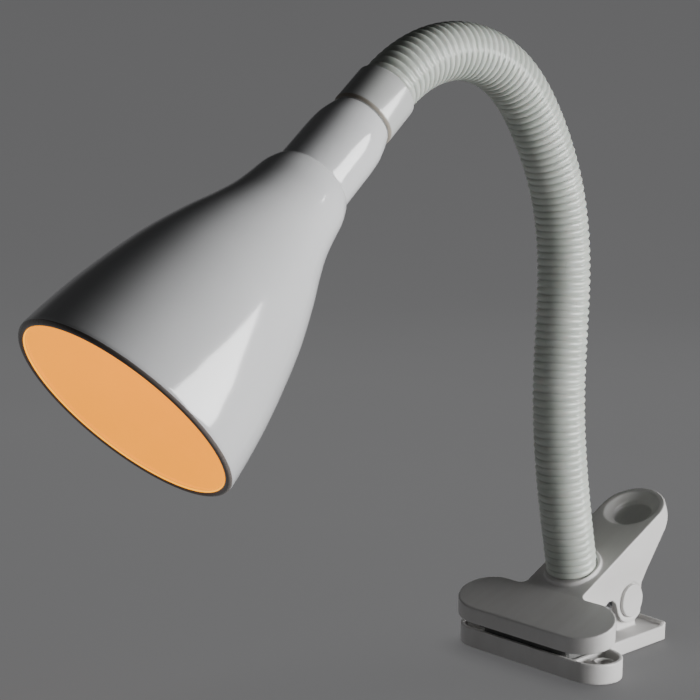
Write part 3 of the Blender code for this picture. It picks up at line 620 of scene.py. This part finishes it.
def upper_jaw():
    """Hollow T-shaped moulding with the boss for the neck, the pivot's lobes and the thumb dish."""
    jaw = upper_block(0, 0, 80 * MM)
    front, fold = -WING_HALF[1] - 1 * MM, WING_HALF[1]
    lobe = arc((PIVOT.y, PIVOT.z), (LOBE_RADIUS, LOBE_RADIUS), LOBE_START, LOBE_END, 40)
    handle_edge = [(y * MM, z * MM) for y, z in HANDLE_EDGE]
    end_y = handle_edge[-1][0]
    side = [(front, under_height(front)), (fold, FOLD_UNDER)] + [(y * MM, z * MM) for y, z in NOTCH] + lobe
    side += handle_edge + [(end_y, top_height(end_y)), (fold, FOLD_TOP), (front, top_height(front))]
    combine(jaw, "INTERSECT", prism(side, "X", -PAST, PAST))
    inner, under_dish = fold - 2 * MM, DISH_DEPTH + SKIN
    ceiling = [(front, 0), (front, under_height(front) + HOLLOW_RISE),
               (inner, under_height(inner) + HOLLOW_RISE), (inner, top_height(fold, SKIN)),
               (DISH_FRONT, top_height(DISH_FRONT, SKIN)),
               (DISH_FRONT, top_height(DISH_FRONT, under_dish)),
               (BEHIND_JAW, top_height(BEHIND_JAW, under_dish)), (BEHIND_JAW, 0)]
    hollow = upper_block(WEB_WALL, -10 * MM, 90 * MM)
    combine(hollow, "INTERSECT", prism(ceiling, "X", -PAST, PAST))
    combine(jaw, "DIFFERENCE", hollow)

    seat, axis = neck_point(-2.4 * MM) - Vector((0, 0, FOOT)), neck_direction(0)
    normal = Vector((0, -sin(HANDLE_RISE), cos(HANDLE_RISE)))
    boss_foot = seat + Vector((0, BOSS_SHIFT, 0))
    boss = rod(BOSS_RADIUS, -BOSS_FLOOR, 20 * MM, boss_foot, axis, 96)
    top = Vector((0, fold, FOLD_TOP)) + BOSS_PROUD * normal
    for vert in boss.data.vertices:
        if (vert.co - boss_foot).dot(axis) > 10 * MM:
            vert.co -= axis * (vert.co - top).dot(normal) / axis.dot(normal)
    combine(jaw, "UNION", boss)
    combine(jaw, "DIFFERENCE", rod(SLEEVE_RADIUS + 0.25 * MM, 0, 20 * MM, seat, axis, 96))
    combine(jaw, "DIFFERENCE", rod(THREAD_HOLE, -10 * MM, 5 * MM, seat, axis))

    combine(jaw, "DIFFERENCE", rod(PIN_BORE, -PIN_REACH, PIN_REACH, PIVOT, X_AXIS))
    for outward in (-X_AXIS, X_AXIS):
        groove = rod(CAP_GROOVE, WEB_HALF - CAP_GROOVE_DEPTH, WEB_HALF + 2 * MM, PIVOT, outward, 96)
        combine(jaw, "DIFFERENCE", groove)
    end = Vector((0, fold, FOLD_TOP)) + HANDLE_END * Vector((0, cos(HANDLE_RISE), sin(HANDLE_RISE)))
    dish = [(-DISH_DEPTH, 0.1 * MM), (-DISH_DEPTH, DISH_FLOOR - 0.3 * MM), (DISH_STEP - 0.2 * MM, DISH_FLOOR),
            (DISH_STEP, DISH_FLOOR + 0.4 * MM), (0, DISH_RADIUS), (5 * MM, DISH_RADIUS + 1 * MM),
            (5 * MM, 0.1 * MM)]
    rings = [circle_ring(end + normal * along, normal, radius, 96) for along, radius in dish]
    combine(jaw, "DIFFERENCE", loft("helper", rings, ()))
    piece = mould(jaw, "upper_jaw_moulding")
    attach(piece, "clip_upper")
    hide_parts("upper_jaw")


def pivot_caps():
    """Shallow domed caps, one on each side of the pivot."""
    centre = PIVOT + Vector((0, 0, FOOT))
    for side, name in ((-1, "left"), (1, "right")):
        profile = [(16.9, 7.4), (16.9, 8.3)] + arc((17.9, 7.7), (0.6, 0.6), 90, 0, 6)
        profile += [(18.55, 6.6), (18.65, 3.0), (18.7, 0.05)]
        rings = []
        for along, radius in profile:
            middle = centre + side * along * MM * X_AXIS
            rings.append([middle + radius * MM * Vector((0, cos(angle), sin(angle)))
                          for angle in round_angles(CAP_SIDES)])
        cap = loft(f"pivot_cap_disc_{name}", rings, (CLIP,))
        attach(cap, "clip_upper")
        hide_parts(f"pivot_cap_{name}")


def torsion_spring():
    """Round wire: a leg on the lower handle, turns about the pin, a leg that moves with the upper handle."""
    sweep = -(2 * pi * SPRING_TURNS + SPRING_EXTRA)
    steps = round(SPRING_STEPS * abs(sweep) / (2 * pi))
    route = [Vector((-SPRING_HALF, y, z)) for y, z in LOWER_LEG]
    for i in range(steps + 1):
        angle = SPRING_START + sweep * i / steps
        x = SPRING_HALF * (2 * i / steps - 1)
        route.append(PIVOT + Vector((x, SPRING_RADIUS * cos(angle), SPRING_RADIUS * sin(angle))))
    route += [Vector((SPRING_HALF, y, z)) for y, z in UPPER_LEG]
    route = [point + Vector((0, 0, FOOT)) for point in route]
    ends = [2 * route[0] - route[1]] + route + [2 * route[-1] - route[-2]]
    across, rings = X_AXIS, []
    for before, point, after in zip(ends, route, ends[2:]):
        along = (after - before).normalized()
        across = (across - along * across.dot(along)).normalized()
        upward = along.cross(across)
        rings.append([point + SPRING_WIRE * (cos(angle) * across + sin(angle) * upward)
                      for angle in round_angles(WIRE_SIDES)])
    piece = loft("spring_wire", rings, (STEEL,))
    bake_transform(piece)
    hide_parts("torsion_spring")


# --- Head ---

HEAD_POINT = neck_point(NECK_LENGTH)
HEAD_AXIS = Vector((0, -cos(HEAD_DIP), -sin(HEAD_DIP)))


def shade():
    """Gloss shell: a narrow cup, a crisp step, the bell and a rolled rim. Its rim carries painted shade, the
    rim's inner lip a painted highlight and its inside painted lamplight.
    """
    edge = arc((SHADE_TOP + 0.7, 12.65), (0.7, 0.7), 180, 90, 6)
    outside = edge + smooth_keys(CUP_KEYS, 5) + list(STEP_KEYS) + smooth_keys(BELL_KEYS, 6)
    bell_start = SHADE_TOP + 2 * SHADE_WALL
    inside = []
    for along, radius in outside:
        if along > bell_start:
            share = max(0, (along - 0.9 * SHADE_MOUTH) / (0.1 * SHADE_MOUTH))
            inside.append((along, radius - SHADE_WALL - (RIM_WALL - SHADE_WALL) * share))
    rim = arc((SHADE_MOUTH - 2.0, 45.5), (2.0, 1.6), 70, -75, 14)
    ceiling = SHADE_TOP + SHADE_WALL
    profile = [(SHADE_TOP, NIPPLE_HOLE)] + outside + rim + inside[::-1]
    profile += [(ceiling, inside[0][1]), (ceiling, NIPPLE_HOLE)]
    shell_end = len(outside)
    rim_end = shell_end + len(rim) - 1
    # Bands: the outer shell, the rim in painted shade, its inner lip with a painted highlight, then the inside
    # with painted lamplight.
    piece = turned("shade_bell", profile, HEAD_POINT, HEAD_AXIS, SHADE_SIDES, (ENAMEL, RIM_PAINTED_SHADE, LIP, LINING),
                   pick=lambda i: 0 if i <= shell_end else 1 if i < rim_end - 2 else 2 if i < rim_end else 3)
    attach(piece, "head")
    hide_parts("shade")


def collar():
    """Gloss tube between the neck and the shade, with a dull chamfer at its lower edge painted darker as shade.
    """
    tube = [(0.6, NIPPLE_HOLE)] + arc((1.5, 12.9), (0.9, 0.9), 180, 90, 6) + [(17.6, 13.85)]
    chamfer = [(18.1, 13.8), (19.2, 13.25), (19.4, 13.0)]
    profile = tube + chamfer + [(19.4, 11.6), (2.8, 11.6), (2.8, NIPPLE_HOLE)]
    chamfer_bands = range(len(tube), len(tube) + len(chamfer) - 1)
    piece = turned("collar_tube", profile, HEAD_POINT, HEAD_AXIS, COLLAR_SIDES, (COLLAR, COLLAR_EDGE),
                   pick=lambda i: 1 if i in chamfer_bands else 0)
    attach(piece, "head")
    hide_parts("head_collar")


def globe():
    """Opal ball of the small screw lamp, with a neck down to its cap."""
    neck = [(72.7, 0.2), (72.7, 7.2), (73.6, 8.4)]
    ball = arc((GLOBE_CENTRE, 0.0), (GLOBE_RADIUS, GLOBE_RADIUS), 150, 1, 40)
    piece = turned("lamp_globe", neck + ball, HEAD_POINT, HEAD_AXIS, GLOBE_SIDES, (OPAL,), cyclic=False)
    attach(piece, "head")
    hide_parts("bulb_globe")


def dress_cad():
    """Materials of the CAD nodes that stay."""
    looks = {"lower_pad": RUBBER, "upper_pad": RUBBER, "cord_gland": RUBBER, "pivot_pin": STEEL,
             "neck_washer": STEEL, "neck_nut": STEEL, "collar_nut": STEEL, "bulb_cap": STEEL,
             "neck_stud": BRASS, "head_nipple": BRASS, "holder_shell": BRASS, "holder_contact": BRASS,
             "holder_cap": HOLDER, "holder_body": HOLDER}
    for i in range(1, JOINTS + 2):
        looks[f"core_{i}"] = STEEL
        looks[f"lead_{i}"] = LEAD
    for name, material in looks.items():
        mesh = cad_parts[name].data
        mesh.materials.clear()
        mesh.materials.append(material)


# --- Studio ---

CAMERA_AZIMUTH, CAMERA_ELEVATION, CAMERA_ROLL = radians(46.48), radians(7.21), radians(-0.83)
CAMERA_PLACE = Vector((417.4 * MM, -520.8 * MM, 232.5 * MM + FOOT))
CAMERA_LENS, CAMERA_FILM = 73.09, 36  # millimetres
FLOOR_FLAT, FLOOR_BEND, WALL_TOP, FLOOR_SIDES = 1.6, 1.2, 2.6, 96
FLOOR_GAP = 0.2 * MM  # between the clip's underside and the floor
BACKDROP_GLOW, FRONT_GLOW = 0.105, 0.02
ROOM_STRENGTH = 0.03
LAMP_MIDDLE = (0, 0, 0.14)


def camera():
    """Perspective camera fitted to the photograph."""
    data = bpy.data.cameras.new("camera")
    data.sensor_width = CAMERA_FILM
    data.lens = CAMERA_LENS
    data.clip_start = 0.01
    obj = bpy.data.objects.new("camera", data)
    bpy.context.scene.collection.objects.link(obj)
    a, e = CAMERA_AZIMUTH, CAMERA_ELEVATION
    back = Vector((sin(a) * cos(e), -cos(a) * cos(e), sin(e)))
    right = Vector((cos(a), sin(a), 0))
    up = back.cross(right)
    c, s = cos(CAMERA_ROLL), sin(CAMERA_ROLL)
    across, upward = c * right - s * up, s * right + c * up
    turn = Matrix((across, upward, back)).transposed().to_4x4()
    obj.matrix_world = Matrix.Translation(CAMERA_PLACE) @ turn
    bpy.context.scene.camera = obj


def area_light(name, place, target, size, power):
    data = bpy.data.lights.new(name, "AREA")
    data.shape = "RECTANGLE"
    data.size, data.size_y = size
    data.energy = power
    obj = bpy.data.objects.new(name, data)
    bpy.context.scene.collection.objects.link(obj)
    turn = (Vector(place) - Vector(target)).to_track_quat("Z", "Y")
    obj.matrix_world = Matrix.Translation(place) @ turn.to_matrix().to_4x4()
    obj.visible_camera = False
    return obj


def linked(name, obj, state):
    """A light-linking collection that leaves obj out of a light, or gives the light to obj alone."""
    group = bpy.data.collections.new(name)
    group.objects.link(obj)
    group.collection_objects[0].light_linking.link_state = state
    return group


def floor_bowl():
    """Plain floor that bends up into a round wall."""
    profile = [(0.001, 0), (FLOOR_FLAT, 0)]
    profile += arc((FLOOR_FLAT, FLOOR_BEND), (FLOOR_BEND, FLOOR_BEND), -84, 0, 14)
    profile.append((FLOOR_FLAT + FLOOR_BEND, WALL_TOP))
    centre = Vector((0, 0, FOOT - FLOOR_GAP))
    bm = bmesh.new()
    loops = []
    for radius, height in profile:
        loops.append([bm.verts.new(centre + Vector((radius * cos(angle), radius * sin(angle), height)))
                      for angle in round_angles(FLOOR_SIDES)])
    for start, end in zip(loops, loops[1:]):
        for j in range(FLOOR_SIDES):
            k = (j + 1) % FLOOR_SIDES
            bm.faces.new((start[j], start[k], end[k], end[j]))
    bm.faces.new(loops[0])
    return close_mesh("floor", bm, (floor_paint(),))


def floor_paint():
    """Matt paint with a faint glow, strongest behind the lamp from the camera and weaker up the wall."""
    nodes = Nodes("floor_paint")
    patchy = nodes.spread(nodes.noise(3, 3), 0, 1)
    colour = nodes.blend(patchy, (0.080, 0.080, 0.081), (0.086, 0.086, 0.087))
    split = nodes.add("ShaderNodeSeparateXYZ")
    turned_place = nodes.add("ShaderNodeMapping")
    turned_place.inputs["Rotation"].default_value = (0, 0, -CAMERA_AZIMUTH)
    nodes.link(nodes.place, turned_place.inputs["Vector"])
    nodes.link(turned_place.outputs["Vector"], split.inputs["Vector"])
    behind = nodes.spread(split.outputs["Y"], FRONT_GLOW, BACKDROP_GLOW, -0.9, -0.1)
    low_down = nodes.spread(split.outputs["Z"], 1, 0.15, 0.8, 1.4)
    glow = nodes.add("ShaderNodeMath", operation="MULTIPLY")
    nodes.link(behind, glow.inputs[0])
    nodes.link(low_down, glow.inputs[1])
    nodes.link(glow.outputs["Value"], nodes.shader.inputs["Emission Strength"])
    normal = nodes.bump(nodes.noise(400, 2), 0.1 * MM, 0.1)
    paint = nodes.finish(colour, None, normal, Roughness=0.8, Emission_Color=(1, 1, 1.02, 1))
    paint.cycles.emission_sampling = "NONE"
    return paint


def studio():
    """Floor, a dim room, a soft key on the lamp's right with a card for its highlights, and two weak fills.

    These leave out the floor, which has one soft light of its own from above.
    """
    floor = floor_bowl()
    world = bpy.data.worlds.new("room")
    world.use_nodes = True
    background = world.node_tree.nodes["Background"]
    background.inputs["Color"].default_value = (0.62, 0.63, 0.65, 1)
    background.inputs["Strength"].default_value = ROOM_STRENGTH
    bpy.context.scene.world = world
    without_floor = linked("without_floor", floor, "EXCLUDE")
    key = area_light("key", (0.93, 0.44, 0.17), LAMP_MIDDLE, (0.75, 0.5), 23)
    key.visible_glossy = False
    gloss = area_light("gloss_card", (0.97, 0.27, 0.26), LAMP_MIDDLE, (0.85, 0.70), 33)
    gloss.visible_diffuse = False
    key.light_linking.receiver_collection = gloss.light_linking.receiver_collection = without_floor
    fills = (("back_fill", (-0.45, 1.10, 0.12), 5), ("side_fill", (-1.10, 0.50, 0.12), 1.5))
    for name, place, power in fills:
        fill = area_light(name, place, LAMP_MIDDLE, (0.6, 0.3), power)
        fill.visible_glossy = False
        fill.light_linking.receiver_collection = without_floor
    above = area_light("floor_light", (-0.3, 0.6, 2.0), (-0.3, 0.4, 0), (1.6, 1.6), 25)
    above.light_linking.receiver_collection = linked("floor_only", floor, "INCLUDE")


camera()
studio()
for joint in range(1, JOINTS + 1):
    sleeve_piece(joint)
lower_jaw()
upper_jaw()
pivot_caps()
torsion_spring()
shade()
collar()
globe()
dress_cad()
